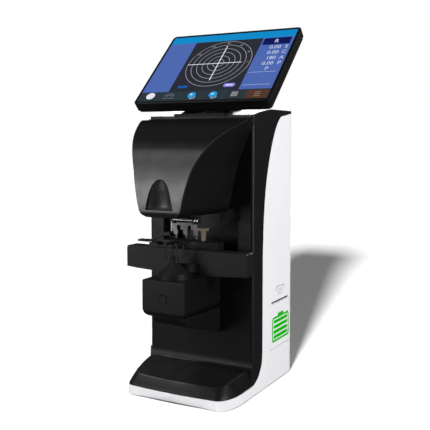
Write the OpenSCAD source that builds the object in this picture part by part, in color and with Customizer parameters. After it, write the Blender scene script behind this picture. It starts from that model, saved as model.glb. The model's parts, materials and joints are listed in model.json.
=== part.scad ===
// Lensmeter: a bench instrument that measures spectacle lenses.
// Millimetres. The operator sits on the -Y side, +X is the operator's right and +Z is up.
// The origin is on the table top, under the centre of the instrument's plan.

/* [Housing] */
// Width across the two side shells
body_w = 169; // [166:0.5:172]
// Height of the housing, without the screen
body_h = 400; // [398:0.5:403]
// Depth from the front of the head to the rear face
overall_d = 248.5; // [246:0.5:252]
// Wall of the white shells
shell_wall = 2.5; // [2:0.1:3]
// Wall of the black mouldings
moulding_wall = 3; // [2.4:0.1:3.4]
// Visible joint between neighbouring covers
seam_gap = 0.3; // [0.2:0.05:0.5]

/* [Base] */
// Distance from the rear face to the front edge of the base
base_len = 220.9; // [216:0.5:224]
// Height of the white band round the base
band_h = 15.8; // [14:0.2:17]
// Height of the tray at the foot of the column
tray_h = 38.8; // [36:0.2:41]
// Height of the front lip of the tray
lip_h = 30; // [28:0.2:31]
// Height of the rubber feet below the base plate
foot_h = 2; // [1.5:0.1:3]
// Radius of each rubber foot
foot_r = 11; // [8:0.5:13]

/* [Column] */
// Distance from the rear face to the front of the column
column_d = 142; // [139:0.5:144]
// Width of the recess that holds the measuring mechanism
bay_w = 122; // [116:1:126]
// Depth of that recess
bay_d = 32; // [28:1:36]

/* [Head] */
// Height of the flat underside of the head
head_z = 255; // [254.6:0.1:255.4]
// Draft of each side of the head, in degrees
head_draft = 8.5; // [7.5:0.1:9.5]
// Radius of the measuring light window
window_r = 9; // [7:0.5:10]

/* [Nose] */
// Distance of the optical axis in front of the column
axis_reach = 68.25; // [67.5:0.25:69]
// Height of the lens stop, where the lens rests
stop_z = 200; // [199:0.2:200.6]
// Height of the top of the nose housing
nose_top = 171.7; // [170.5:0.1:172.3]
// Height of the bottom of the nose housing
nose_bottom = 122; // [119:0.5:125]
// Half width of the nose housing
nose_half = 33; // [32:0.2:34]
// Radius of the round stage under the lens stop
stage_r = 24; // [22:0.2:24.4]

/* [Lens table] */
// Width of the table bar
table_w = 192; // [180:1:200]
// Height of the top of the table bar
table_z = 206.5; // [205.8:0.1:206.8]
// Depth of the table bar
table_d = 20; // [18:0.5:20.5]
// Height of the table bar at its ends
table_t = 30.5; // [28:0.5:32]
// Radius of each guide rod
rod_r = 4; // [3:0.25:4.5]

/* [Marker and lens holder] */
// Spacing of the three marking pens
pen_pitch = 16; // [15.5:0.1:16.5]
// Radius of the circle of lens holding pins
pin_circle_r = 12; // [11.7:0.1:12.4]
// Radius of each lens holding pin
pin_r = 1.4; // [1.1:0.1:1.6]

/* [Screen] */
// Width of the screen case
screen_w = 218.4; // [210:0.5:224]
// Height of the screen case along its face
screen_h = 161.4; // [156:0.5:164]
// Thickness of the screen case
screen_t = 20; // [18:0.5:21]
// Lean of the screen back from upright, in degrees
screen_tilt = 46.1; // [45:0.1:52]

/* [Printer] */
// Width of the paper roll
paper_w = 57.5; // [55:0.5:58]
// Radius of a full paper roll
roll_r = 20; // [12:0.5:21]

/* [Hidden] */
half_w = body_w / 2;
front_y = -overall_d / 2;
back_y = overall_d / 2;
base_front = back_y - base_len;
col_y = back_y - column_d;
axis_y = col_y - axis_reach;
cove_y = col_y - 4;
bay_half = bay_w / 2;
bay_back = col_y + bay_d;
bay_z0 = 176;
table_front = col_y - 42.25;
table_back = table_front + table_d;
rod_x = 30;
rod_z = 190;
holder_x = -27;
holder_y = col_y - 30.25;
shaft_r = 2.5;
fork_z = 216;
fork_t = 3.5;
pen_y = col_y - 37.25;
pen_tip_z = 221.5;
pen_guide_x = 14;
block_z = 234;
hinge_y = col_y + 25.75;
hinge_z = body_h + 2;
knuckle_r = 5.5;
head_floor = head_z + 3.25;
hollow_top = nose_top + 15.5;
screen_back_off = 7.5;
screen_below = 17.9;
door_y0 = back_y - 84;
door_y1 = back_y - 15.5;
door_z0 = 50.7;
door_z1 = 117.6;
door_t = 3;
door_axis_x = half_w - door_t / 2;
door_axis_z = door_z0 + 0.35 + door_t / 2;
roll_y = (door_y0 + door_y1) / 2;
roll_x = half_w - 28.5;
roll_z = 84;
roll_core_r = 6.2;
platen_r = 4;
rocker_x = -50;
rocker_z = 34;
panel_y = back_y - 2;
screw_r = 2.4;
panel_screws = [60, 156, 256, 352];
$fn = 64;

black = [0.05, 0.05, 0.055];
satin_black = [0.1, 0.1, 0.1];
shell_white = [0.93, 0.93, 0.95];
steel = [0.72, 0.73, 0.75];
board_green = [0.05, 0.3, 0.16];

// ---- outlines ----

// Points along a round arc
function arc_pts(c, r, a0, a1, n) =
  [for (i = [0:n]) c + r * [cos(a0 + (a1 - a0) * i / n), sin(a0 + (a1 - a0) * i / n)]];

// Points along an arc of an ellipse
function oval_pts(c, rx, ry, a0, a1, n) =
  [for (i = [0:n]) c + [rx * cos(a0 + (a1 - a0) * i / n), ry * sin(a0 + (a1 - a0) * i / n)]];

// Points along a smooth bend from p0 to p2, pulled towards p1; p0 itself is left out
function bend(p0, p1, p2, n) =
  [for (i = [1:n]) let (t = i / n) (1 - t) * (1 - t) * p0 + 2 * t * (1 - t) * p1 + t * t * p2];

// Plan of the base and shells, moved in from the outside by d
function base_plan(d) = concat(
  oval_pts([half_w - 19.5, base_front + 43.85], 19.5 - d, 40.6 - d, 0, -90, 14),
  [for (i = [1:11]) let (x = (half_w - 19.5) * (1 - i / 6))
    [x, base_front + d + 3.25 * pow(x / (half_w - 19.5), 2)]],
  oval_pts([19.5 - half_w, base_front + 43.85], 19.5 - d, 40.6 - d, -90, -180, 14),
  arc_pts([14 - half_w, back_y - 14], 14 - d, 180, 90, 8),
  arc_pts([half_w - 14, back_y - 14], 14 - d, 90, 0, 8));

// Plan of the column front, moved in by d; the front is moved forward by f
function column_plan(d, f) = concat(
  arc_pts([half_w - 5, col_y + 5 - f], 5 - d, 0, -90, 6),
  arc_pts([5 - half_w, col_y + 5 - f], 5 - d, -90, -180, 6),
  arc_pts([14 - half_w, back_y - 14], 14 - d, 180, 90, 8),
  arc_pts([half_w - 14, back_y - 14], 14 - d, 90, 0, 8));

// Line between the black front and the white shells, seen from the side as [y, z]
function seam_line(g) = concat(
  [[base_front - 5, band_h - g]],
  arc_pts([col_y - 6.75, band_h + 37.2], 37.2 + g, -90, 0, 10),
  [[col_y + 30.45 + g, 165]],
  bend([col_y + 30.45 + g, 165], [col_y + 30.45 + g, 262], [col_y + 44.75 + g, 308], 8),
  bend([col_y + 44.75 + g, 308], [col_y + 66.75 + g, 379 - g], [col_y + 93.75, 391 - g], 10),
  [[back_y + 5, 398.5 - g]]);

// Top of the housing, from the head to the rear
top_line = concat([[col_y - 18.25, body_h - 15]],
  bend([col_y - 18.25, body_h - 15], [col_y + 12.75, body_h - 3.6], [col_y + 57.75, body_h], 8),
  [[back_y + 5, body_h]]);

// Side view of the head, moved in by d
function head_side(d) = concat(
  arc_pts([front_y + 9, head_z + 9], 9 - d, -90, -180, 6),
  [[front_y + d, head_z + 23]],
  bend([front_y + d, head_z + 23], [front_y + 2.25 + d, head_z + 70],
    [front_y + 26.25 + 0.7 * d, head_z + 95 - 0.7 * d], 10),
  bend([front_y + 26.25 + 0.7 * d, head_z + 95 - 0.7 * d],
    [front_y + 44.25 + 0.4 * d, head_z + 113.75 - d],
    [col_y - 18.25, body_h - 15 - d], 10),
  [[col_y, body_h - 8.7 - d], [col_y, head_z + d]]);

// Right side of the head seen from the front, at the column face
function head_right(d) = concat(
  [[-200, head_z - 20 + d], [-200, body_h + 20], [105 - d, body_h + 20], [92 - d, body_h - 8]],
  [for (i = [9:-1:0]) let (t = i / 10)
    (1 - t) * (1 - t) * [57.6 - d, 315] + 2 * t * (1 - t) * [68.5 - d, 352]
    + t * t * [92 - d, 392]],
  arc_pts([32.7 - d, head_z + 15], 15, -12, -90, 8),
  [[32.7 - d, head_z - 20]]);

// ---- helpers ----

// Extrude a [y, z] outline along X
module along_x(x0, x1) {
  translate([x0, 0, 0])
    rotate([90, 0, 90])
      linear_extrude(x1 - x0)
        children();
}

// Extrude an [x, z] outline along Y
module along_y(y0, y1) {
  translate([0, y1, 0])
    rotate([90, 0, 0])
      linear_extrude(y1 - y0)
        children();
}

module block(p0, p1) {
  translate(p0)
    cube(p1 - p0);
}

module rod_x(r, x0, x1, y, z) {
  translate([x0, y, z])
    rotate([0, 90, 0])
      cylinder(r = r, h = x1 - x0);
}

module rod_y(r, y0, y1, x, z) {
  translate([x, y0, z])
    rotate([-90, 0, 0])
      cylinder(r = r, h = y1 - y0);
}

module rod_z(r, z0, z1, x, y) {
  translate([x, y, z0])
    cylinder(r = r, h = z1 - z0);
}

// Flat rectangle with round corners, centred
module round_rect(w, h, r) {
  union() {
    square([w - 2 * r, h], center = true);
    square([w, h - 2 * r], center = true);
    for (sx = [-1, 1], sz = [-1, 1])
      translate([sx * (w / 2 - r), sz * (h / 2 - r)])
        circle(r = r);
  }
}

// Pan head screw with a cross recess, head up
module screw(r, len) {
  difference() {
    union() {
      cylinder(r = r, h = 1.4);
      translate([0, 0, -len])
        cylinder(r = r * 0.5, h = len);
    }
    for (a = [0, 90])
      rotate(a)
        translate([-r * 0.6, -r * 0.13, 0.7])
          cube([r * 1.2, r * 0.26, 1]);
  }
}

// ---- base ----

module base_plate() {
  color(steel)
    difference() {
      translate([0, 0, foot_h])
        linear_extrude(2)
          polygon(base_plan(shell_wall + 0.4));
      for (x = [-60, 60], y = [base_front + 32, back_y - 24])
        rod_z(1.5, foot_h - 1, foot_h + 3, x, y);
      for (x = [-40:10:40])
        block([x - 1.5, back_y - 80, foot_h - 1], [x + 1.5, back_y - 44, foot_h + 3]);
    }
}

module feet() {
  color([0.06, 0.06, 0.06])
    for (x = [-60, 60], y = [base_front + 32, back_y - 24])
      translate([x, y, 0])
        union() {
          cylinder(r = foot_r - 1, h = 0.8);
          translate([0, 0, 0.8])
            cylinder(r = foot_r, h = foot_h - 0.8);
          translate([0, 0, foot_h])
            cylinder(r = 1.5, h = 3);
        }
}

// White wall that follows the plan, behind the seam line
module shell_body() {
  difference() {
    intersection() {
      translate([0, 0, foot_h])
        linear_extrude(body_h)
          polygon(base_plan(0));
      along_x(-half_w - 1, half_w + 1)
        polygon(concat([[back_y + 5, foot_h], [base_front + 4.2, foot_h],
          [base_front + 1.6, foot_h + 2.6], [base_front, foot_h + 7], [base_front - 5, foot_h + 7]],
          seam_line(seam_gap)));
    }
    translate([0, 0, -1])
      linear_extrude(body_h + 5)
        polygon(base_plan(shell_wall));
    // Opening that the rear panel closes
    block([-62, back_y - 6, 18], [62, back_y + 6, body_h - 22]);
  }
}

module shell_left() {
  color(shell_white)
    union() {
      intersection() {
        shell_body();
        block([-half_w - 5, front_y, 0], [-seam_gap / 2, back_y + 5, body_h + 5]);
      }
      for (z = [60, 180, 300])
        block([-half_w + 2, back_y - 50, z], [-half_w + 8, back_y - 44, z + 20]);
    }
}

module shell_right() {
  color(shell_white)
    difference() {
      union() {
        intersection() {
          shell_body();
          block([seam_gap / 2, front_y, 0], [half_w + 5, back_y + 5, body_h + 5]);
        }
        for (z = [180, 300])
          block([half_w - 8, back_y - 50, z], [half_w - 2, back_y - 44, z + 20]);
      }
      // Opening for the printer door
      block([half_w - 6, door_y0, door_z0], [half_w + 5, door_y1, door_z1]);
      // Bores of the two hinge pins of the door
      rod_y(0.76, door_y0 - 4, door_y1 + 4, door_axis_x, door_axis_z);
      // Paper exit, just above the door
      block([half_w - 6, roll_y - 31.2, door_z1 + 0.9], [half_w + 5, roll_y + 31.2, door_z1 + 3.7]);
    }
}

module rear_panel() {
  color([0.86, 0.86, 0.88])
    difference() {
      union() {
        block([-61.7, panel_y - 2.5, 18.3], [61.7, panel_y, body_h - 22.3]);
        for (sx = [-1, 1], z = panel_screws)
          block([sx * 56 - 5, panel_y - 6, z - 5], [sx * 56 + 5, panel_y - 2.5, z + 5]);
      }
      for (z = [262:9:334])
        block([-36, panel_y - 8, z], [36, panel_y + 1, z + 3.6]);
      for (z = [70:9:97])
        block([-36, panel_y - 8, z], [36, panel_y + 1, z + 3.6]);
      // Power inlet, switch and data ports
      block([-34, panel_y - 8, 24], [-6, panel_y + 1, 44]);
      block([rocker_x - 8.3, panel_y - 8, rocker_z - 11.3],
        [rocker_x + 8.3, panel_y + 1, rocker_z + 11.3]);
      block([6, panel_y - 8, 26], [54, panel_y + 1, 42]);
      for (sx = [-1, 1], z = panel_screws)
        rod_y(1.3, panel_y - 8, panel_y + 1, sx * 56, z);
    }
}

module base_tray() {
  color(black)
    difference() {
      tray_solid(0);
      translate([0, 0, -moulding_wall])
        tray_solid(moulding_wall);
    }
}

// Tray outside; d moves its sides in. A gentle slope with a bevel down to the white band
module tray_solid(d) {
  lip_y = base_front + 17;
  rear_y = cove_y - seam_gap;
  intersection() {
    translate([0, 0, band_h])
      linear_extrude(40)
        polygon(base_plan(0.8 + d));
    along_x(-half_w, half_w)
      polygon(concat([[rear_y, 0], [base_front + 0.9 + d, 0], [base_front + 0.9 + d, band_h + 0.5]],
        bend([base_front + 0.9 + d, band_h + 0.5], [base_front + 7 + d, lip_h - 5], [lip_y, lip_h], 5),
        bend([lip_y, lip_h], [lip_y + 30, tray_h - 3.5], [rear_y, tray_h], 4)));
    tray_side(1, d);
    tray_side(-1, d);
  }
}

// One side of the tray, leaning in towards the front
module tray_side(s, d) {
  mirror([s < 0 ? 1 : 0, 0, 0])
    translate([half_w, col_y, 0])
      rotate([0, 0, -5])
        along_y(-120, 30)
          polygon([[-200, 0], [-200, 60], [-8 - d, 60], [-6.5 - d, tray_h + 4],
            [-4.6 - d, tray_h - 4], [-0.4 - d, 26], [2.1 - d, band_h - 1], [2.1 - d, 0]]);
}

// ---- column ----

module front_fascia() {
  color(black)
    difference() {
      intersection() {
        union() {
          linear_extrude(body_h + 5)
            polygon(column_plan(0, 0));
          linear_extrude(tray_h + 12)
            polygon(column_plan(0, 4));
        }
        along_x(-half_w - 1, half_w + 1)
          polygon(fascia_side(0));
      }
      intersection() {
        translate([0, 0, -1])
          linear_extrude(body_h + 5)
            polygon(column_plan(moulding_wall, 0));
        along_x(-half_w, half_w)
          polygon(fascia_side(moulding_wall));
      }
      // Mouth of the recess for the mechanism
      block([-bay_half, col_y - 1, bay_z0], [bay_half, col_y + 8, head_z]);
      // Openings behind the head and the nose housing
      block([-30, col_y - 1, head_z + 12], [30, col_y + 8, head_z + 60]);
      block([-20, col_y - 1, nose_bottom + 12], [20, col_y + 8, nose_top - 12]);
    }
}

// Side view of the black front and top; d thins the front and top walls
function fascia_side(d) = concat(
  [[cove_y + d, band_h], [cove_y + d, tray_h + 0.4]],
  bend([cove_y + d, tray_h + 0.4], [col_y + d, tray_h + 2], [col_y + d, tray_h + 12], 6),
  [[col_y + d, body_h - 9.4 - d]],
  [for (p = top_line) if (p[0] > col_y + d) [p[0], p[1] - d]],
  (d == 0)
    ? [for (i = [len(seam_line(0)) - 1:-1:2]) seam_line(0)[i]]
    : [[back_y + 5, 100], [col_y + 60, band_h]]);

module bay_liner() {
  z0 = bay_z0 - 2.5;
  z1 = head_z + 2.5;
  color([0.03, 0.03, 0.035])
    difference() {
      block([-bay_half - 2.5, col_y + moulding_wall, z0], [bay_half + 2.5, bay_back + 2.5, z1]);
      block([-bay_half, col_y, bay_z0], [bay_half, bay_back, head_z]);
      for (sx = [-1, 1])
        rod_y(7, bay_back - 1, bay_back + 5, sx * rod_x, rod_z);
      block([-14, bay_back - 1, 196], [14, bay_back + 5, 206]);
    }
}

// ---- head ----

// Solid head; d moves all its faces in
module head_solid(d) {
  intersection() {
    along_x(-half_w + d, half_w - d)
      polygon(head_side(d));
    for_side(1)
      along_y(front_y - 90, col_y + 40)
        polygon(head_right(d));
    for_side(-1)
      along_y(front_y - 90, col_y + 40)
        polygon(head_right(d));
  }
}

// Lean one side of the head in towards its front
module for_side(s) {
  mirror([s < 0 ? 1 : 0, 0, 0])
    translate([0, col_y, 0])
      rotate([0, 0, -head_draft])
        translate([0, -col_y, 0])
          children();
}

// Front skin of the head: the band between the outline and the same outline moved back
module head_skin(y_step, z_step) {
  difference() {
    along_x(-half_w - 1, half_w + 1)
      polygon([[front_y - 1, head_z - 1], [front_y - 1, body_h], [col_y - 18.4, body_h],
        [col_y - 18.4, head_z - 1]]);
    translate([0, y_step, -z_step])
      along_x(-half_w - 2, half_w + 2)
        polygon(concat(head_side(0), [[col_y + 20, body_h - 20], [col_y + 20, head_z - 20],
          [front_y + 12, head_z - 20]]));
  }
}

// Bell outline of the hand recess under the brow of the head
module bell(g) {
  polygon(concat([[-21 - g, 265.5 - g], [21 + g, 265.5 - g]],
    bend([21 + g, 265.5 - g], [17 + g, 288], [12 + g, 297 + g], 6),
    bend([12 + g, 297 + g], [7.5, 305.5 + g], [0, 305.5 + g], 6),
    bend([0, 305.5 + g], [-7.5, 305.5 + g], [-12 - g, 297 + g], 6),
    bend([-12 - g, 297 + g], [-17 - g, 288], [-21 - g, 265.5 - g], 6)));
}

module head_cover() {
  color(satin_black)
    difference() {
      intersection() {
        head_solid(0);
        head_skin(3.4, 3);
      }
      along_y(front_y - 5, front_y + 16)
        bell(0);
    }
}

module head_housing() {
  color(black)
    difference() {
      intersection() {
        head_solid(0.01);
        translate([0, 3.7, -3.3])
          along_x(-half_w - 2, half_w + 2)
            polygon(concat(head_side(0), [[col_y + 20, body_h - 10], [col_y + 20, head_z - 20],
              [front_y + 12, head_z - 20]]));
      }
      // Hollow inside
      intersection() {
        head_solid(3.2);
        translate([0, 6.7, -5.8])
          along_x(-half_w - 2, half_w + 2)
            polygon(concat(head_side(0), [[col_y + 20, body_h - 10], [col_y + 20, head_z - 20],
              [front_y + 12, head_z - 20]]));
        block([-half_w, front_y, head_z + 3.2], [half_w, col_y + 1, body_h]);
      }
      along_y(front_y - 5, front_y + 19)
        bell(0.4);
      rod_z(window_r, head_z - 1, head_z + 5, 0, axis_y);
      rod_z(4.25, head_z - 1, head_z + 5, holder_x, holder_y);
      // Slots for the two guide tubes of the marker
      for (sx = [-1, 1])
        block([sx * pen_guide_x - 3.1, axis_y - 3.5, head_z - 1],
          [sx * pen_guide_x + 3.1, pen_y + 3.5, head_z + 5]);
    }
}

module chin_recess() {
  color([0.03, 0.03, 0.03])
    intersection() {
      along_y(front_y - 5, front_y + 24)
        bell(-0.3);
      union() {
        // Floor that runs deeper towards its lower edge
        translate([0, front_y + 5.2, 306])
          rotate([10, 0, 0])
            block([-30, 0, -45], [30, 2, 6]);
        // Lower ledge
        block([-30, front_y + 2, 258], [30, front_y + 14, 266.8]);
      }
    }
}

module head_window() {
  color([0.75, 0.85, 0.95, 0.35])
    rod_z(window_r - 0.05, head_z + 0.5, head_z + 2.5, 0, axis_y);
}

module lamp_unit() {
  z0 = head_z + 36;
  color([0.5, 0.51, 0.53])
    difference() {
      union() {
        rod_z(14, z0, z0 + 3, 0, axis_y);
        rod_z(11, z0 + 3, z0 + 30, 0, axis_y);
        // Cooling fins
        for (z = [z0 + 32:4:z0 + 40])
          rod_z(14, z, z + 2, 0, axis_y);
        rod_z(5, z0 + 30, z0 + 42, 0, axis_y);
        // Legs that stand on the head floor
        for (sx = [-1, 1]) {
          block([sx * 23.15 - 0.85, axis_y - 5, head_floor], [sx * 23.15 + 0.85, axis_y + 5, z0 + 3]);
          block([sx * 18 - 6, axis_y - 5, z0], [sx * 18 + 6, axis_y + 5, z0 + 3]);
        }
      }
      rod_z(9.5, z0 - 1, z0 + 26, 0, axis_y);
    }
}

module condenser_lens() {
  z0 = head_z + 36;
  color([0.8, 0.88, 0.95, 0.4])
    intersection() {
      rod_z(9.4, z0 + 2, z0 + 12, 0, axis_y);
      translate([0, axis_y, z0 + 25])
        sphere(r = 22, $fn = 96);
    }
}

module screen_neck() {
  color(black)
    difference() {
      intersection() {
        union() {
          along_x(-40.5, 40.5)
            polygon([[col_y - 3.25, body_h - 16], [col_y - 3.25, body_h - 6.4],
              [col_y + 8, body_h - 6.2], [col_y + 14, body_h - 6], [col_y + 38, body_h + 3],
              [col_y + 48, body_h + 3], [col_y + 56, body_h - 1], [col_y + 56, body_h - 16]]);
          // Lugs that carry the hinge pin of the screen
          for (sx = [-1, 1])
            along_x(sx * 32 - 4, sx * 32 + 4)
              union() {
                translate([hinge_y, hinge_z])
                  circle(r = 7);
                polygon([[hinge_y - 3, hinge_z - 6], [hinge_y + 7, hinge_z], [hinge_y + 13, body_h + 1],
                  [hinge_y + 13, body_h - 2], [hinge_y - 3, body_h - 6]]);
              }
        }
        // Sits on the top of the housing
        along_x(-41, 41)
          polygon([for (p = concat([[col_y - 18.25, body_h - 14.9]], top_line,
            [[back_y + 5, body_h + 30], [col_y - 18.25, body_h + 30]])) p + [0, 0.02]]);
      }
      rod_x(3.05, -45, 45, hinge_y, hinge_z);
      // Room for the knuckle of the screen bracket
      rod_x(8.4, -27.6, 27.6, hinge_y, hinge_z);
      block([-27.6, hinge_y - 2, hinge_z - 2], [27.6, hinge_y + 20, hinge_z + 6]);
    }
}

// ---- nose ----

module nose_housing() {
  ny = front_y + 9.1;
  color(black)
    difference() {
      intersection() {
        along_y(ny, col_y)
          union() {
            translate([0, nose_bottom + 20])
              round_rect(2 * nose_half, 40, 12);
            translate([0, nose_top - 17])
              round_rect(2 * nose_half, 34, 1.5);
          }
        // Rounding of the lower front edge
        along_x(-nose_half - 1, nose_half + 1)
          translate([ny + 100, nose_bottom + 50])
            round_rect(200, 100, 8);
      }
      block([-nose_half + 3, ny + 3, nose_bottom + 12], [nose_half - 3, col_y - 3, nose_top - 3]);
      block([-nose_half + 12, ny + 7, nose_bottom + 3], [nose_half - 12, col_y - 3, nose_top - 3]);
      rod_z(10, nose_top - 5, nose_top + 1, 0, axis_y);
      // Seat of the read button
      block([-5, ny - 1, 143], [5, ny + 4, 152.6]);
      block([-18, col_y - 5, nose_bottom + 14], [18, col_y + 1, nose_top - 14]);
    }
}

module nose_bracket() {
  ny = front_y + 20;
  color([0.07, 0.07, 0.075])
    difference() {
      intersection() {
        linear_extrude(nose_bottom - 0.05)
          polygon([[-25, ny], [25, ny], [nose_half, col_y], [-nose_half, col_y]]);
        along_x(-40, 40)
          polygon([[ny, nose_bottom], [ny, nose_bottom - 2.5], [ny + 9, nose_bottom - 12],
            [col_y, nose_bottom - 36], [col_y, nose_bottom]]);
      }
      block([-18, ny + 10, nose_bottom - 9], [18, col_y - 6, nose_bottom + 1]);
      for (sx = [-1, 1]) {
        rod_z(1.6, nose_bottom - 40, nose_bottom + 1, sx * 22, col_y - 16);
        rod_z(2.7, nose_bottom - 40, nose_bottom - 29, sx * 22, col_y - 16);
      }
    }
}

module nose_stage() {
  color([0.12, 0.12, 0.125])
    translate([0, axis_y, 0])
      difference() {
        union() {
          translate([0, 0, nose_top])
            cylinder(r = stage_r, h = 3.4);
          translate([0, 0, nose_top + 3.4])
            cylinder(r = stage_r - 2.5, h = 3.8);
          translate([0, 0, nose_top + 7.2])
            cylinder(r1 = stage_r - 4, r2 = 12.4, h = 7);
          translate([0, 0, nose_top + 14.2])
            cylinder(r1 = 12, r2 = 6.4, h = 6);
          translate([0, 0, nose_top + 20.2])
            cylinder(r = 5.8, h = stop_z - nose_top - 24.2);
          translate([0, 0, nose_top - 2.9])
            cylinder(r = 9.9, h = 3);
        }
        translate([0, 0, nose_top - 5])
          cylinder(r = 5, h = 40);
      }
}

module lens_stop() {
  color([0.2, 0.2, 0.2])
    translate([0, axis_y, 0])
      difference() {
        union() {
          translate([0, 0, stop_z - 4])
            cylinder(r = 5.8, h = 3);
          translate([0, 0, stop_z - 1])
            cylinder(r = 5, h = 1);
          translate([0, 0, stop_z - 10])
            cylinder(r = 4.95, h = 6.01);
        }
        translate([0, 0, stop_z - 12])
          cylinder(r = 4, h = 14);
      }
}

module collimator_lens() {
  color([0.8, 0.88, 0.95, 0.4])
    rod_z(4.9, nose_top + 2, nose_top + 5, 0, axis_y);
}

module fold_mirror() {
  color([0.85, 0.87, 0.9])
    union() {
      translate([0, axis_y, nose_bottom + 22])
        rotate([45, 0, 0])
          block([-13.5, -15, -1.5], [13.5, 15, 1.5]);
      for (sx = [-1, 1])
        along_x(sx * 13.5 - 1.5, sx * 13.5 + 1.5)
          polygon([[axis_y - 12, nose_bottom + 3], [axis_y + 14, nose_bottom + 3],
            [axis_y + 14, nose_bottom + 34], [axis_y - 12, nose_bottom + 8]]);
    }
}

module image_sensor() {
  y0 = axis_y + 42;
  color(board_green)
    union() {
      block([-16, y0, nose_bottom + 5], [16, y0 + 1.6, nose_bottom + 41]);
      block([-6, y0 - 1.4, nose_bottom + 16], [6, y0, nose_bottom + 28]);
      difference() {
        rod_y(9, y0 - 12, y0 - 1.4, 0, nose_bottom + 22);
        rod_y(7.5, y0 - 13, y0 - 1, 0, nose_bottom + 22);
      }
      for (z = [8, 32])
        block([-12, y0 + 1.6, nose_bottom + z], [10, y0 + 3.2, nose_bottom + z + 5]);
    }
}

// ---- inside the column ----

module main_board() {
  y0 = back_y - 26;
  color(board_green)
    union() {
      difference() {
        block([-64, y0, 150], [50, y0 + 1.6, 330]);
        for (x = [-60, 46], z = [154, 326])
          rod_y(1.8, y0 - 1, y0 + 3, x, z);
      }
      block([-20, y0 - 2.5, 250], [8, y0, 278]);
      for (i = [0:3])
        block([-52 + 24 * i, y0 - 1.6, 200], [-38 + 24 * i, y0, 212]);
      for (x = [-50, -20, 10])
        block([x, y0 - 9, 156], [x + 20, y0, 163]);
      for (x = [24, 36])
        rod_y(5, y0 - 12, y0, x, 305);
    }
}

module power_supply() {
  y0 = back_y - 96;
  color(steel)
    difference() {
      block([-76, y0, foot_h + 2], [10, y0 + 56, 44]);
      for (x = [-70:7:2])
        block([x, y0 - 1, 12], [x + 3.5, y0 + 2, 36]);
      for (x = [-66:9:0])
        block([x, y0 + 8, 42.5], [x + 4, y0 + 48, 45]);
    }
}

module power_inlet() {
  color([0.04, 0.04, 0.04])
    difference() {
      union() {
        block([-33.7, back_y - 22, 24.3], [-6.3, panel_y + 0.01, 43.7]);
        block([-37, panel_y, 22], [-3, panel_y + 1.6, 46]);
      }
      block([-30, back_y - 17, 27.5], [-10, back_y + 3, 40.5]);
    }
  color([0.8, 0.7, 0.4])
    for (p = [[-24.5, 31.5], [-20, 36], [-15.5, 31.5]])
      block([p[0] - 1, back_y - 18, p[1] - 2], [p[0] + 1, back_y - 6, p[1] + 2]);
}

module switch_body() {
  color([0.04, 0.04, 0.04])
    union() {
      difference() {
        union() {
          block([rocker_x - 8, back_y - 24, rocker_z - 11],
            [rocker_x + 8, panel_y + 0.01, rocker_z + 11]);
          block([rocker_x - 10, panel_y, rocker_z - 13],
            [rocker_x + 10, panel_y + 1.2, rocker_z + 13]);
        }
        block([rocker_x - 6.4, back_y - 16, rocker_z - 9.6],
          [rocker_x + 6.4, back_y + 3, rocker_z + 9.6]);
      }
      rod_x(1.5, rocker_x - 7, rocker_x + 7, back_y - 7, rocker_z);
    }
}

module data_ports() {
  color([0.6, 0.6, 0.62])
    difference() {
      block([6.3, back_y - 14, 26.3], [53.7, panel_y - 0.2, 41.7]);
      block([10, back_y - 12.5, 29], [24.5, back_y + 1, 37]);
      block([29, back_y - 12.5, 28.5], [50, back_y + 1, 38.5]);
    }
  color([0.1, 0.1, 0.1])
    union() {
      block([12, back_y - 13, 32.3], [22.5, back_y - 7.5, 33.8]);
      block([33, back_y - 13, 31.5], [46, back_y - 7.5, 35.5]);
    }
}

module rod_bushes() {
  color([0.75, 0.6, 0.3])
    for (sx = [-1, 1])
      difference() {
        union() {
          rod_y(6.95, bay_back - 1, bay_back + 14, sx * rod_x, rod_z);
          rod_y(9.5, bay_back + 2.5, bay_back + 5, sx * rod_x, rod_z);
        }
        rod_y(rod_r + 0.05, bay_back - 2, bay_back + 16, sx * rod_x, rod_z);
      }
}

module housing_screws() {
  color([0.35, 0.35, 0.36])
    union() {
      for (sx = [-1, 1], z = panel_screws)
        translate([sx * 56, panel_y, z])
          rotate([-90, 0, 0])
            screw(screw_r, 6);
      for (sx = [-1, 1])
        translate([sx * 22, col_y - 16, nose_bottom - 29])
          rotate([180, 0, 0])
            screw(screw_r, 6);
    }
}

module power_rocker() {
  color([0.03, 0.03, 0.03])
    translate([0, back_y - 7, rocker_z])
      along_x(rocker_x - 6, rocker_x + 6)
        difference() {
          union() {
            polygon([[-4, -8.2], [6.4, -8.2], [4.8, 0], [4.5, 8.2], [-4, 8.2]]);
            circle(r = 3.4);
          }
          circle(r = 1.55);
        }
}

// ---- printer ----

module printer_unit() {
  color([0.16, 0.16, 0.17])
    union() {
      difference() {
        block([roll_x - 24, door_y0 - 3, 48.5], [half_w - 5, door_y1 + 3, 122]);
        block([roll_x - 22, door_y0, 50.5], [half_w, door_y1, 119.4]);
      }
      // Spindle of the paper roll
      rod_y(roll_core_r - 0.08, door_y0 - 0.5, door_y1 + 0.5, roll_x, roll_z);
      // Thermal head behind the platen
      block([half_w - 18, door_y0 + 4, 106], [half_w - 13.5, door_y1 - 4, 119.5]);
    }
}

module door_pins() {
  color(steel)
    for (y = [door_y0 - 3.8, door_y1 - 7.8])
      rod_y(0.75, y, y + 11.6, door_axis_x, door_axis_z);
}

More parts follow.
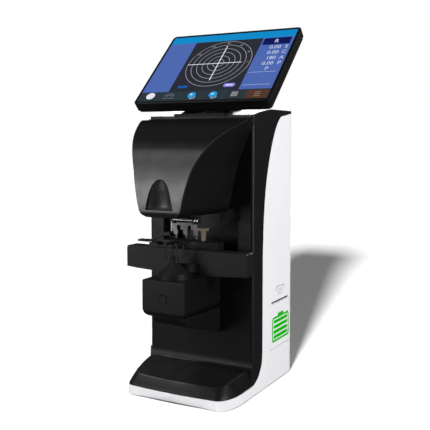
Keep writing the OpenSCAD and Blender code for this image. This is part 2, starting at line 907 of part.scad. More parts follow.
module printer_door() {
  w = door_y1 - door_y0 - 0.8;
  color(shell_white)
    difference() {
      union() {
        block([half_w - door_t, door_y0 + 0.4, door_axis_z], [half_w, door_y1 - 0.4, door_z1 - 0.4]);
        rod_y(door_t / 2, door_y0 + 0.4, door_y1 - 0.4, door_axis_x, door_axis_z);
        // Ears that carry the platen
        for (y = [door_y0 + 1.2, door_y1 - 3.2])
          block([half_w - 11.5, y, 104], [half_w - door_t + 0.01, y + 2, 116.6]);
      }
      rod_y(0.8, door_y0 - 1, door_y0 + 9, door_axis_x, door_axis_z);
      rod_y(0.8, door_y1 - 9, door_y1 + 1, door_axis_x, door_axis_z);
      rod_y(1.55, door_y0, door_y1, half_w - 8.5, 110.5);
      // Shallow pocket of the badge
      translate([half_w - 0.6, 0, 0])
        along_x(0, 2)
          badge_outline(0.05);
    }
}

// Battery symbol: a frame with a nub on top and four bars, seen from +X
module badge_outline(g) {
  yc = back_y - 47.6;
  translate([yc, 79])
    union() {
      difference() {
        round_rect(61 + 2 * g, 37 + 2 * g, 4.5);
        round_rect(55 - 2 * g, 31 - 2 * g, 2.5);
      }
      for (i = [0:3])
        translate([0, -11.25 + 7.5 * i])
          square([50 + 2 * g, 5 + 2 * g], center = true);
      translate([0, 20.3])
        square([20 + 2 * g, 3.8 + 2 * g], center = true);
    }
}

module battery_badge() {
  color([0.1, 0.75, 0.12])
    translate([half_w - 0.6, 0, 0])
      along_x(0, 0.7)
        badge_outline(0);
}

module platen_roller() {
  color([0.08, 0.08, 0.08])
    union() {
      rod_y(platen_r, door_y0 + 4, door_y1 - 4, half_w - 8.5, 110.5);
      rod_y(1.5, door_y0 + 1.4, door_y1 - 1.4, half_w - 8.5, 110.5);
    }
}

module paper_roll() {
  color([0.95, 0.95, 0.94])
    difference() {
      rod_y(roll_r, roll_y - paper_w / 2, roll_y + paper_w / 2, roll_x, roll_z);
      rod_y(roll_core_r, roll_y - 40, roll_y + 40, roll_x, roll_z);
    }
}

// ---- screen ----

// Place children in the tilted frame of the screen: x along the width, z up its face,
// y = 0 on the front face and y = screen_t on the back
module on_screen() {
  translate([0, hinge_y, hinge_z])
    rotate([-screen_tilt, 0, 0])
      translate([0, -screen_back_off - screen_t, screen_h / 2 - screen_below])
        children();
}

module screen_frame() {
  color([0.04, 0.04, 0.042])
    on_screen()
      difference() {
        along_y(0, 9)
          round_rect(screen_w, screen_h, 6);
        along_y(-1, 1.6)
          round_rect(screen_w - 3, screen_h - 3, 5);
        along_y(1, 10)
          round_rect(screen_w - 12, screen_h - 12, 3);
      }
}

module screen_glass() {
  color([0.02, 0.02, 0.025])
    on_screen()
      along_y(0.15, 1.6)
        round_rect(screen_w - 3.4, screen_h - 3.4, 4.8);
}

module lcd_panel() {
  color([0.1, 0.25, 0.7])
    on_screen()
      along_y(1.65, 6.5)
        round_rect(screen_w - 13, screen_h - 13, 3);
}

module screen_back() {
  color(black)
    on_screen()
      difference() {
        union() {
          along_y(9.2, 14)
            round_rect(screen_w, screen_h, 6);
          along_y(14, 17.5)
            round_rect(screen_w - 3, screen_h - 3, 6);
          along_y(17.5, screen_t)
            round_rect(screen_w - 9, screen_h - 9, 6);
        }
        along_y(9, screen_t - 2.5)
          round_rect(screen_w - 12, screen_h - 12, 3);
        for (i = [0:11])
          translate([-66 + 12 * i, 0, 30])
            block([-4, 15, -1.2], [4, screen_t + 1, 24]);
        for (sx = [-1, 1])
          rod_y(1.6, 12, screen_t + 1, sx * 20, -42);
      }
}

module screen_bracket() {
  kz = screen_below - screen_h / 2;
  ky = screen_t + screen_back_off;
  color([0.06, 0.06, 0.065])
    on_screen()
      difference() {
        union() {
          block([-27, screen_t + 0.02, -74], [27, screen_t + 2.5, -34]);
          rod_x(knuckle_r, -27, 27, ky, kz);
          block([-27, screen_t + 1, kz - 3], [27, ky, kz + 7]);
          // Pin ends that turn in the neck
          rod_x(3, -37, 37, ky, kz);
        }
        for (sx = [-1, 1])
          rod_y(1.6, screen_t - 1, screen_t + 4, sx * 20, -42);
      }
}

// ---- lens table ----

module table_bar() {
  sag = 3.9;
  bow_r = (pow(table_w / 2, 2) + sag * sag) / (2 * sag);
  color([0.16, 0.17, 0.18])
    difference() {
      along_y(table_front, table_back)
        intersection() {
          translate([0, table_z - table_t / 2 - sag / 2])
            round_rect(table_w, table_t + sag, 3.5);
          translate([0, table_z - table_t - sag + bow_r])
            circle(r = bow_r, $fn = 720);
        }
      // Hollow that clears the stage when the table comes forward
      rod_z(26, 100, hollow_top, 0, table_front - 10);
      // Track of the slider
      block([-table_w / 2 - 1, table_front + 6, table_z - 3],
        [table_w / 2 + 1, table_front + 9, table_z + 1]);
      // Dip that lets the pens come down behind the front lip
      block([-18.3, table_front + 2.8, table_z - 4.5], [18.3, table_back + 1, table_z + 1]);
      // Hollow underside
      for (sx = [-1, 1])
        block([sx * 62 - 27, table_front + 3, 160], [sx * 62 + 27, table_back - 3, table_z - 7]);
    }
}

module table_carriage() {
  color([0.09, 0.09, 0.095])
    difference() {
      union() {
        block([-40, table_back + 0.02, 180], [40, table_back + 20, 215]);
        block([-46, table_back + 0.02, 184], [46, table_back + 8, 204]);
      }
      for (sx = [-1, 1])
        rod_y(rod_r + 0.01, table_back + 2, table_back + 21, sx * rod_x, rod_z);
      block([-18, table_back + 6, 179], [18, table_back + 21, 205]);
      block([-14, table_back - 1, 209], [14, table_back + 2, 216]);
    }
}

module table_rods() {
  color(steel)
    for (sx = [-1, 1])
      rod_y(rod_r, table_back + 2, bay_back + 26, sx * rod_x, rod_z);
}

module pd_slider() {
  color([0.13, 0.13, 0.14])
    union() {
      block([-59.5, table_front + 2, table_z + 0.35], [-20.5, table_back - 2, table_z + 3.6]);
      block([-59.5, table_front + 2, table_z + 3.5], [-46, table_back - 2, table_z + 6]);
      block([-26, table_front + 2, table_z + 3.5], [-20.5, table_back - 2, table_z + 5]);
      for (x = [-43:3:-29])
        block([x, table_front + 4, table_z + 3.5], [x + 1.2, table_back - 4, table_z + 4.4]);
      block([-59.5, table_front + 6.4, table_z - 2.6], [-20.5, table_front + 8.6, table_z + 1]);
    }
}

// ---- lens holder ----

module holder_fork() {
  pin = pin_circle_r / sqrt(2);
  cross_y0 = pen_y - 15;
  cross_y1 = pen_y - 7;
  color([0.07, 0.07, 0.075])
    difference() {
      union() {
        for (sx = [-1, 1])
          block([sx * pin - 2, axis_y - pin - 2.4, fork_z], [sx * pin + 2, cross_y1, fork_z + fork_t]);
        block([holder_x - 4, cross_y0, fork_z], [pin + 2, cross_y1, fork_z + fork_t]);
        block([holder_x - 4, cross_y0, fork_z], [holder_x + 4, holder_y + 4, fork_z + fork_t]);
        rod_z(4.6, fork_z, fork_z + 8, holder_x, holder_y);
      }
      rod_z(shaft_r + 0.01, fork_z - 1, fork_z + 10, holder_x, holder_y);
      for (sx = [-1, 1], sy = [-1, 1])
        rod_z(pin_r + 0.01, fork_z - 1, fork_z + fork_t + 1, sx * pin, axis_y + sy * pin);
    }
}

module holder_shaft() {
  color(steel)
    union() {
      rod_z(shaft_r, fork_z, 306, holder_x, holder_y);
      rod_z(4.2, 266, 268, holder_x, holder_y);
    }
}

module holder_pins() {
  pin = pin_circle_r / sqrt(2);
  color([0.1, 0.1, 0.1])
    for (sx = [-1, 1], sy = [-1, 1]) {
      rod_z(pin_r, 198, fork_z + fork_t + 0.5, sx * pin, axis_y + sy * pin);
      rod_z(1.9, stop_z - 3, stop_z - 0.4, sx * pin, axis_y + sy * pin);
    }
}

// Closed ring stack that stands for the coil of the holder spring
module holder_spring() {
  color(steel)
    for (i = [0:6])
      translate([holder_x, holder_y, 269.4 + 4.6 * i])
        rotate([0, 7, 50 * i])
          rotate_extrude($fn = 48)
            translate([3.7, 0])
              circle(r = 0.55, $fn = 16);
}

module holder_bush() {
  color([0.6, 0.5, 0.3])
    difference() {
      union() {
        rod_z(4.2, head_z, head_z + 8, holder_x, holder_y);
        // Flange with a flat towards the side of the head
        intersection() {
          rod_z(5.4, head_floor, head_z + 5, holder_x, holder_y);
          block([holder_x - 3.4, holder_y - 6, head_z], [holder_x + 6, holder_y + 6, head_z + 6]);
        }
        // Bracket that holds the top of the spring
        block([holder_x - 4, holder_y + 4.6, head_floor], [holder_x + 4, holder_y + 7, 303]);
        block([holder_x - 4, holder_y - 5, 300.5], [holder_x + 4, holder_y + 7, 303]);
      }
      rod_z(shaft_r + 0.05, head_z - 1, 310, holder_x, holder_y);
    }
}

module holder_lever() {
  y0 = pen_y - 9;
  color([0.05, 0.05, 0.05])
    difference() {
      union() {
        // Curved arm
        along_y(y0 + 1, y0 + 8)
          polygon(concat([[holder_x - 4, fork_z + 8.5], [holder_x - 4, fork_z + 13]],
            bend([holder_x - 4, fork_z + 13], [holder_x - 14, fork_z + 12],
              [holder_x - 22, fork_z + 4], 7),
            [[holder_x - 30, fork_z + 0.6], [holder_x - 47, fork_z + 0.6],
              [holder_x - 48, fork_z - 1], [holder_x - 47, fork_z - 2.4], [holder_x - 29, fork_z - 2.4]],
            bend([holder_x - 29, fork_z - 2.4], [holder_x - 17, fork_z + 4],
              [holder_x - 4, fork_z + 8.5], 7)));
        // Finger tab
        block([holder_x - 47, y0 - 1, fork_z - 2], [holder_x - 33, y0 + 10, fork_z + 0.6]);
        // Clamp on the shaft
        block([holder_x - 5, y0 + 1, fork_z + 8.5], [holder_x + 5, holder_y + 5, fork_z + 13]);
      }
      rod_z(shaft_r + 0.01, fork_z, fork_z + 20, holder_x, holder_y);
    }
}

// ---- marker ----

module marker_rails() {
  color(steel)
    for (sx = [-1, 1])
      mirror([sx < 0 ? 1 : 0, 0, 0])
        difference() {
          block([18.6, axis_y - 12, head_floor], [21.6, col_y - 6, head_z + 9]);
          block([18, axis_y - 13, head_z + 4.5], [20, col_y - 5, head_z + 7.5]);
        }
}

module marker_carriage() {
  y0 = pen_y - 9;
  color([0.1, 0.1, 0.105])
    difference() {
      union() {
        // Plate that runs between the rails, inside the head
        block([-18.3, y0 - 3, head_z + 4], [18.3, pen_y + 12, head_z + 8]);
        block([-19.7, y0 - 3, head_z + 4.8], [19.7, pen_y + 12, head_z + 7.2]);
        // Guide tubes of the marking head
        for (sx = [-1, 1])
          rod_z(2.7, head_z - 8.5, head_z + 31, sx * pen_guide_x, pen_y);
        // Bridge under the head
        block([-19, y0 + 1, head_z - 8.5], [19, pen_y + 8, head_z - 5]);
        for (sx = [-1, 1])
          block([sx * 17.5 - 1.5, y0 - 3, head_z - 9.6], [sx * 17.5 + 1.5, y0 + 1.1, head_z - 5]);
      }
      for (sx = [-1, 1])
        rod_z(1.55, head_z - 10, head_z + 32, sx * pen_guide_x, pen_y);
      rod_x(1.51, -20, 25, y0 - 0.9, head_z - 7.4);
    }
}

module marker_knob() {
  y0 = pen_y - 9.9;
  color([0.62, 0.63, 0.65])
    union() {
      rod_x(1.5, -19.5, 21.2, y0, head_z - 7.4);
      rod_x(4.6, 20.2, 22.2, y0, head_z - 7.4);
      rod_x(3.4, 22.2, 24.4, y0, head_z - 7.4);
      rod_x(4.6, 24.4, 26.6, y0, head_z - 7.4);
    }
}

module marker_block() {
  color([0.42, 0.43, 0.44])
    difference() {
      union() {
        block([-20, pen_y - 6, block_z], [20, pen_y + 5, block_z + 8]);
        block([-12, pen_y - 6, block_z + 7.9], [12, pen_y - 2, block_z + 9.6]);
        // Pen sockets
        for (i = [-1:1])
          block([i * pen_pitch - 3.4, pen_y - 2.5, block_z - 7.5],
            [i * pen_pitch + 3.4, pen_y + 2.5, block_z + 0.1]);
        for (sx = [-1, 1])
          rod_y(2.3, pen_y - 6.6, pen_y - 5.9, sx * 11.5, block_z + 3.4);
        // Guide pins
        for (sx = [-1, 1])
          rod_z(1.5, block_z + 7.9, head_z + 29, sx * pen_guide_x, pen_y);
      }
      for (i = [-1:1])
        rod_z(1.62, block_z - 9, block_z + 3, i * pen_pitch, pen_y);
      for (sx = [-1, 1])
        block([sx * 11.5 - 1.6, pen_y - 7, block_z + 3.1],
          [sx * 11.5 + 1.6, pen_y - 6.3, block_z + 3.7]);
      // Slots that clear the prongs of the lens holder
      for (sx = [-1, 1])
        block([sx * 8.5 - 2.8, pen_y - 8, block_z - 1], [sx * 8.5 + 2.8, pen_y + 6, block_z + 5.6]);
    }
}

module marker_pens() {
  color([0.75, 0.74, 0.7])
    for (i = [-1:1])
      union() {
        rod_z(1.6, pen_tip_z + 4, block_z + 2.9, i * pen_pitch, pen_y);
        translate([i * pen_pitch, pen_y, pen_tip_z + 2])
          cylinder(r1 = 0.8, r2 = 1.6, h = 2.01);
        rod_z(0.8, pen_tip_z, pen_tip_z + 2.01, i * pen_pitch, pen_y);
      }
}

module marker_tab() {
  color([0.82, 0.78, 0.68])
    union() {
      block([20.05, pen_y - 9, block_z], [34.5, pen_y + 2, block_z + 3.5]);
      along_y(pen_y - 9, pen_y - 6)
        polygon([[28.5, block_z + 0.1], [34.5, block_z + 0.1], [34, block_z - 12], [33, block_z - 13.4],
          [29.6, block_z - 13.4], [29, block_z - 12]]);
    }
}

module ink_box() {
  color([0.05, 0.055, 0.07])
    difference() {
      block([42.5, col_y - 18, head_z - 11], [54.5, col_y - 0.02, head_z + 7]);
      block([44, col_y - 18.5, head_z - 9], [53, col_y - 16.8, head_z + 5]);
      // Corner that clears the head
      head_solid(-0.1);
    }
}

module read_button() {
  ny = front_y + 9.1;
  color([0.13, 0.13, 0.135])
    union() {
      along_y(ny - 1.2, ny + 1)
        translate([0, 147.8])
          round_rect(9.2, 8.8, 1.2);
      along_y(ny + 0.9, ny + 3)
        translate([0, 147.8])
          square([9.4, 9], center = true);
    }
}

base_plate();
feet();
shell_left();
shell_right();
rear_panel();
base_tray();
front_fascia();
bay_liner();
head_cover();
head_housing();
chin_recess();
screen_neck();
nose_housing();
nose_bracket();
nose_stage();
lens_stop();
head_window();
lamp_unit();
condenser_lens();
collimator_lens();
fold_mirror();
image_sensor();
main_board();
power_supply();
power_inlet();
switch_body();
data_ports();
rod_bushes();
marker_rails();
holder_bush();
ink_box();
printer_unit();
door_pins();
housing_screws();
power_rocker();
screen_frame();
screen_glass();
lcd_panel();
screen_back();
screen_bracket();
table_bar();
table_carriage();
table_rods();
pd_slider();
holder_fork();
holder_shaft();
holder_pins();
holder_spring();
holder_lever();
marker_carriage();
marker_knob();
marker_block();
marker_pens();
marker_tab();
read_button();
printer_door();
battery_badge();
platen_roller();
paper_roll();
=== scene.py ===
"""Looks of the bench lensmeter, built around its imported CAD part. Metres, in the part's own frame."""
import json
import math

import bmesh
import bpy
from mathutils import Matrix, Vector


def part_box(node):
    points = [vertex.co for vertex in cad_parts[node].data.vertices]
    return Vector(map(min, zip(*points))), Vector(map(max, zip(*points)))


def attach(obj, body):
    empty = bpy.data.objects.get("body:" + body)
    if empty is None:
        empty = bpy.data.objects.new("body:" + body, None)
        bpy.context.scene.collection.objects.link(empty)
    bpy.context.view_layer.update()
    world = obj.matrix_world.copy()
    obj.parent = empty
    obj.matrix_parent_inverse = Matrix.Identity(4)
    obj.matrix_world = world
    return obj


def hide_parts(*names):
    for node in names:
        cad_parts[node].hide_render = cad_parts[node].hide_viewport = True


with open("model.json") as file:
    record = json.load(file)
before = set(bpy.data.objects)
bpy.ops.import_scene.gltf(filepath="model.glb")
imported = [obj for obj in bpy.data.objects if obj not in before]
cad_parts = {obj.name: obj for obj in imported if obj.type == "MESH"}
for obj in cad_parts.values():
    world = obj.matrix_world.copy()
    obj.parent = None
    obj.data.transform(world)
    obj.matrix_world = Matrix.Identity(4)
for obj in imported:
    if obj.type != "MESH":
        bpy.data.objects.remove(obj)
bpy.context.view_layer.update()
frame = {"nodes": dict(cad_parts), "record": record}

MM = 0.001
RECORD = frame["record"]
BODY_OF = {node: body for body, nodes in RECORD["behaviour"]["bodies"].items() for node in nodes}
SLOT_OF = {part["node"]: part["material_slot"] for part in RECORD["subparts"]}
scene = bpy.context.scene
FLOOR_Z = -0.0002  # just under the rubber feet
FLOOR_GLOW = 0.15  # light of the floor that only the camera sees


# ---- materials ----

def node_tree(name):
    """A new material with its shader and object coordinates."""
    material = bpy.data.materials.new(name)
    material.use_nodes = True
    tree = material.node_tree
    shader = tree.nodes["Principled BSDF"]
    place = tree.nodes.new("ShaderNodeTexCoord").outputs["Object"]
    return material, tree, shader, place


def noise(tree, place, scale, detail=3.0, stretch=None):
    """Noise with its scale in cells per metre, stretched along the axes on request."""
    texture = tree.nodes.new("ShaderNodeTexNoise")
    texture.inputs["Scale"].default_value = scale
    texture.inputs["Detail"].default_value = detail
    if stretch:
        mapping = tree.nodes.new("ShaderNodeMapping")
        mapping.inputs["Scale"].default_value = stretch
        tree.links.new(place, mapping.inputs["Vector"])
        place = mapping.outputs["Vector"]
    tree.links.new(place, texture.inputs["Vector"])
    return texture.outputs["Fac"]


def spread(tree, value, low, high, start=0.3, end=0.7):
    """Noise turned into values from low to high."""
    ramp = tree.nodes.new("ShaderNodeMapRange")
    ramp.inputs["From Min"].default_value = start
    ramp.inputs["From Max"].default_value = end
    ramp.inputs["To Min"].default_value = low
    ramp.inputs["To Max"].default_value = high
    tree.links.new(value, ramp.inputs["Value"])
    return ramp.outputs["Result"]


def blend_colours(tree, factor, first, second):
    """Colour between two colours, by a factor."""
    mix = tree.nodes.new("ShaderNodeMix")
    mix.data_type = "RGBA"
    for socket, colour in ((mix.inputs[6], first), (mix.inputs[7], second)):
        if isinstance(colour, bpy.types.NodeSocket):
            tree.links.new(colour, socket)
        else:
            socket.default_value = (*colour, 1)
    tree.links.new(factor, mix.inputs["Factor"])
    return mix.outputs[2]


def dust(tree, place, colour, dust_colour, amount):
    """Faint dust on faces that look up, broken up by noise."""
    geometry = tree.nodes.new("ShaderNodeNewGeometry")
    split = tree.nodes.new("ShaderNodeSeparateXYZ")
    tree.links.new(geometry.outputs["Normal"], split.inputs["Vector"])
    up = spread(tree, split.outputs["Z"], 0, amount, 0.55, 1.0)
    patches = spread(tree, noise(tree, place, 65, 6), 0.2, 1.0)
    both = tree.nodes.new("ShaderNodeMath")
    both.operation = "MULTIPLY"
    tree.links.new(up, both.inputs[0])
    tree.links.new(patches, both.inputs[1])
    return blend_colours(tree, both.outputs["Value"], colour, dust_colour)


def bump(tree, shader, height, depth):
    """Fine relief, depth in metres."""
    node = tree.nodes.new("ShaderNodeBump")
    node.inputs["Strength"].default_value = 1.0
    node.inputs["Distance"].default_value = depth
    tree.links.new(height, node.inputs["Height"])
    tree.links.new(node.outputs["Normal"], shader.inputs["Normal"])


def moulded(name, colour, rough, grain=2600, depth=0.02, specular=0.5, mottle=0.08, coat=0.0,
            dusty=0.04, rough_spread=0.06):
    """Moulded plastic or rubber: a fine grain (depth in mm), colour drift, smudged gloss and dust."""
    material, tree, shader, place = node_tree(name)
    drift = spread(tree, noise(tree, place, 22, 4), 0, 1)
    low = [c * (1 - mottle) for c in colour]
    high = [min(1, c * (1 + mottle)) for c in colour]
    tone = blend_colours(tree, drift, low, high)
    if dusty:
        tone = dust(tree, place, tone, (0.45, 0.44, 0.42), dusty)
    tree.links.new(tone, shader.inputs["Base Color"])
    smudge = noise(tree, place, 48, 8)
    gloss = spread(tree, smudge, rough - rough_spread, rough + rough_spread)
    tree.links.new(gloss, shader.inputs["Roughness"])
    shader.inputs["Specular IOR Level"].default_value = specular
    shader.inputs["Coat Weight"].default_value = coat
    shader.inputs["Coat Roughness"].default_value = 0.12
    bump(tree, shader, noise(tree, place, grain, 2), depth * MM)
    return material


def metal(name, colour, rough, stretch, lines=900, depth=0.006, dark=0.82):
    """Ground, brushed or blasted metal, with its marks along one direction."""
    material, tree, shader, place = node_tree(name)
    marks = noise(tree, place, lines, 4, stretch)
    tone = blend_colours(tree, spread(tree, marks, 0, 1), [c * dark for c in colour], colour)
    tree.links.new(tone, shader.inputs["Base Color"])
    gloss = spread(tree, noise(tree, place, 60, 6), rough * 0.8, rough * 1.25)
    tree.links.new(gloss, shader.inputs["Roughness"])
    shader.inputs["Metallic"].default_value = 1.0
    bump(tree, shader, marks, depth * MM)
    return material


def lit(name, colour, strength):
    """A patch of the lit display: fine pixel rows under a glossy surface."""
    rough = 0.09
    material, tree, shader, place = node_tree(name)
    rows = tree.nodes.new("ShaderNodeTexWave")
    rows.bands_direction = "X"
    rows.inputs["Scale"].default_value = 2200
    tree.links.new(place, rows.inputs["Vector"])
    haze = spread(tree, noise(tree, place, 14, 2), 0.0, 0.35)
    shade = blend_colours(tree, haze, colour, [c * 0.86 for c in colour])
    between_rows = spread(tree, rows.outputs["Fac"], 0, 0.12, 0, 1)
    shade = blend_colours(tree, between_rows, shade, [c * 0.6 for c in colour])
    tree.links.new(shade, shader.inputs["Emission Color"])
    shader.inputs["Emission Strength"].default_value = strength
    shader.inputs["Base Color"].default_value = (0.004, 0.004, 0.005, 1)
    gloss = spread(tree, noise(tree, place, 60, 6), rough * 0.7, rough * 1.4)
    tree.links.new(gloss, shader.inputs["Roughness"])
    shader.inputs["Specular IOR Level"].default_value = 0.22
    return material


def clear_glass(name):
    """Coated lens glass."""
    material, tree, shader, place = node_tree(name)
    drift = spread(tree, noise(tree, place, 90, 2), 0, 1)
    tone = blend_colours(tree, drift, (0.86, 0.93, 0.97), (0.78, 0.88, 0.98))
    tree.links.new(tone, shader.inputs["Base Color"])
    tree.links.new(spread(tree, noise(tree, place, 300, 5), 0.01, 0.06), shader.inputs["Roughness"])
    shader.inputs["Transmission Weight"].default_value = 1.0
    shader.inputs["IOR"].default_value = 1.5
    return material


def make_materials():
    """One material for each slot of the record, and some for single pieces."""
    black = (0.0036, 0.0036, 0.0037)
    # name: colour, roughness, grain, depth in mm, specular, mottle, coat, dust, spread of the roughness
    plastics = {
        # hollow_skin_painted_light: a lighter copy of the head's dark skin for the hand recess; the
        # extra lightness is painted light in the hollow
        "hollow_skin_painted_light": ((0.012, 0.012, 0.012), 0.42, 3200, 0.006, 0.5, 0.05, 0.0, 0.0),
        "white_shell": ((0.86, 0.86, 0.885), 0.33, 2400, 0.006, 0.45, 0.012, 0.12, 0.0, 0.05),
        "panel_grey": ((0.74, 0.74, 0.76), 0.45, 1900, 0.02, 0.4, 0.02, 0.0, 0.0),
        "black_moulding": (black, 0.42, 2600, 0.012, 0.17, 0.08, 0.0, 0.01),
        "head_skin": ((0.0045, 0.0045, 0.0045), 0.34, 3200, 0.006, 0.60, 0.05, 0.0, 0.0),
        "dark_recess": ((0.005, 0.005, 0.005), 0.52, 2200, 0.02, 0.1, 0.08, 0.0, 0.01),
        "rubber": ((0.007, 0.007, 0.007), 0.68, 1500, 0.03, 0.25, 0.15, 0.0, 0.02),
        "steel_dark": ((0.0060, 0.0062, 0.0066), 0.42, 1800, 0.014, 0.15, 0.1, 0.0, 0.02),
        "screen_glass": ((0.004, 0.004, 0.005), 0.09, 400, 0.0005, 0.4, 0.05, 0.0, 0.0, 0.03),
        "board": ((0.02, 0.16, 0.07), 0.42, 700, 0.03, 0.5, 0.2),
        "tab": ((0.115, 0.092, 0.060), 0.4, 1800, 0.02, 0.4, 0.08),
        "pen": ((0.16, 0.155, 0.14), 0.35, 1800, 0.015, 0.5, 0.08),
        "badge": ((0.002, 0.46, 0.0), 0.40, 1500, 0.01, 0.12, 0.03, 0.0, 0.0),
        "paper": ((0.86, 0.86, 0.83), 0.75, 900, 0.03, 0.2, 0.03),
        "printed_grey": ((0.50, 0.50, 0.48), 0.5, 1500, 0.005, 0.3, 0.06, 0.0, 0.0),
    }
    finishes = {name: moulded(name, *values) for name, values in plastics.items()}
    # name: colour, roughness, stretch of the marks, marks per metre, depth in mm, darkening
    metals = {
        "steel": ((0.36, 0.365, 0.375), 0.30, (1, 1, 0.03)),
        "grey_metal": ((0.15, 0.15, 0.15), 0.5, (1, 1, 1), 2600, 0.012, 0.7),
        "brass": ((0.72, 0.56, 0.27), 0.3, (1, 0.05, 1)),
        "mirror": ((0.9, 0.92, 0.94), 0.04, (1, 1, 1), 300, 0.0005, 0.97),
    }
    finishes.update({name: metal(name, *values) for name, values in metals.items()})
    finishes["glass"] = clear_glass("glass")
    finishes["display"] = lit("display", (0.008, 0.009, 0.014), 1.0)
    return finishes


materials = make_materials()


# ---- mesh helpers ----

def add_object(name, mesh, body, slot=None, material=None):
    """Link a mesh as a piece that rides on a body and takes its finish from a slot."""
    piece = bpy.data.objects.new(name, mesh)
    scene.collection.objects.link(piece)
    mesh.materials.clear()
    mesh.materials.append(material or materials[slot])
    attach(piece, body)
    return piece


def smooth_with_bevel(piece, width, segments, angle):
    """Round the edges and shade the curved faces smoothly."""
    if width:
        bevel = piece.modifiers.new("edges", "BEVEL")
        bevel.width = width * MM
        bevel.segments = segments
        bevel.limit_method = "ANGLE"
        bevel.angle_limit = math.radians(angle)
        bevel.miter_outer = "MITER_ARC"
        bevel.use_clamp_overlap = True
    normals = piece.modifiers.new("normals", "WEIGHTED_NORMAL")
    normals.keep_sharp = True
    normals.weight = 60


def refine(node, width, segments, angle=24, slot=None, merge=True):
    """A copy of a CAD node with rounded edges and smooth curves, which stands for it."""
    same_point, flat, sharp = 2e-6, 0.6, 38
    mesh = frame["nodes"][node].data.copy()
    mesh.name = node + "_fine"
    bm = bmesh.new()
    bm.from_mesh(mesh)
    bmesh.ops.remove_doubles(bm, verts=bm.verts, dist=same_point)
    if merge:
        bmesh.ops.dissolve_limit(bm, angle_limit=math.radians(flat), verts=bm.verts, edges=bm.edges)
    for face in bm.faces:
        face.smooth = True
    if not width:
        for edge in bm.edges:
            if len(edge.link_faces) == 2 and edge.calc_face_angle(0) > math.radians(sharp):
                edge.smooth = False
    bm.to_mesh(mesh)
    bm.free()
    slot = slot or SLOT_OF[node]
    piece = add_object(node + "_fine", mesh, BODY_OF[node], slot)
    smooth_with_bevel(piece, width, segments, angle)
    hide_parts(node)
    return piece


def mesh_from(name, points, faces, smooth=False):
    mesh = bpy.data.meshes.new(name)
    mesh.from_pydata([tuple(p) for p in points], [], faces)
    mesh.validate()
    for face in mesh.polygons:
        face.use_smooth = smooth
    return mesh


# ---- refined CAD nodes ----

# Radius of the rounded edges in mm, the bevel's segments and, for a few, the smallest angle it rounds
EDGES = {
    "base_plate": (0.3, 2), "feet": (0.5, 3), "shell_left": (0.6, 3), "shell_right": (0.6, 3),
    "rear_panel": (0, 0), "front_fascia": (0.9, 3), "bay_liner": (0.4, 2), "head_cover": (1.0, 3),
    "head_housing": (0.7, 3), "screen_neck": (0.6, 3), "nose_housing": (1.3, 3, 32),
    "nose_bracket": (0.8, 3), "nose_stage": (0.35, 3), "lens_stop": (0.25, 3), "head_window": (0.1, 2),
    "lamp_unit": (0.3, 2), "condenser_lens": (0.1, 2), "collimator_lens": (0.1, 2),
    "fold_mirror": (0.2, 2), "image_sensor": (0.15, 2), "main_board": (0.2, 2),
    "power_supply": (0.4, 2), "power_inlet": (0.4, 3), "switch_body": (0.4, 3), "data_ports": (0.2, 2),
    "rod_bushes": (0.25, 2), "marker_rails": (0.2, 2), "holder_bush": (0.25, 2), "ink_box": (0.6, 3),
    "printer_unit": (0.4, 2), "door_pins": (0.15, 2), "housing_screws": (0.12, 2),
    "power_rocker": (0.4, 3), "screen_frame": (0.5, 3), "screen_glass": (0.2, 2), "lcd_panel": (0.2, 2),
    "screen_back": (0.8, 3), "screen_bracket": (0.5, 3), "table_bar": (0.9, 3),
    "table_carriage": (0.6, 3), "table_rods": (0.3, 2), "pd_slider": (0.3, 3), "holder_fork": (0.4, 3),
    "holder_shaft": (0.25, 2), "holder_pins": (0.25, 2), "holder_spring": (0, 0),
    "holder_lever": (0.4, 3), "marker_carriage": (0.3, 3), "marker_knob": (0.3, 3),
    "marker_block": (0.35, 3), "marker_pens": (0.12, 2), "marker_tab": (0.35, 3),
    "read_button": (0.4, 3), "printer_door": (0.4, 3), "battery_badge": (0.04, 1),
    "platen_roller": (0.3, 2), "paper_roll": (0.3, 2),
}
OTHER_FINISH = {"bay_liner": "black_moulding", "screen_neck": "dark_recess",
                "screen_bracket": "dark_recess"}
# Nodes whose flat faces hold many holes keep the faces of the CAD mesh
AS_MESHED = ("front_fascia", "head_housing", "nose_bracket", "power_supply", "screen_back",
             "marker_pens", "data_ports", "rear_panel")
fine = {node: refine(node, *edge, slot=OTHER_FINISH.get(node), merge=node not in AS_MESHED)
        for node, edge in EDGES.items()}


# ---- tray ----

def tray_outlines():
    """Outer edge of the tray and the crease at the top of its rim, from rear right to front middle."""
    low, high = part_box("base_tray")
    half, front, rear = high.x, low.y, high.y
    corner_x, corner_y = 18.7 * MM, 39.8 * MM
    bow = 3.25 * MM
    rim_depth, rim_side, rim_rear = 10 * MM, 11 * MM, 4.5 * MM
    turn = 17 * MM
    inner = half - corner_x
    corner_back = front + bow + corner_y
    crease_x = half - rim_side
    crease_y = front + bow + rim_depth
    outer, crease = [], []
    side_steps, corner_steps, front_steps = 12, 20, 14
    for i in range(side_steps):
        t = i / side_steps
        outer.append((half, rear + (corner_back - rear) * t))
        crease.append((half - rim_rear - (rim_side - rim_rear) * t ** 1.5,
                       rear + (crease_y + turn - rear) * t))
    for i in range(corner_steps + 1):
        a = math.radians(90 * i / corner_steps)
        outer.append((inner + corner_x * math.cos(a), corner_back - corner_y * math.sin(a)))
        crease.append((crease_x - turn + turn * math.cos(a), crease_y + turn - turn * math.sin(a)))
    for i in range(1, front_steps + 1):
        t = 1 - i / front_steps
        outer.append((inner * t, front + bow * t * t))
        crease.append(((crease_x - turn) * t, crease_y - bow + bow * t * t))
    return outer, crease


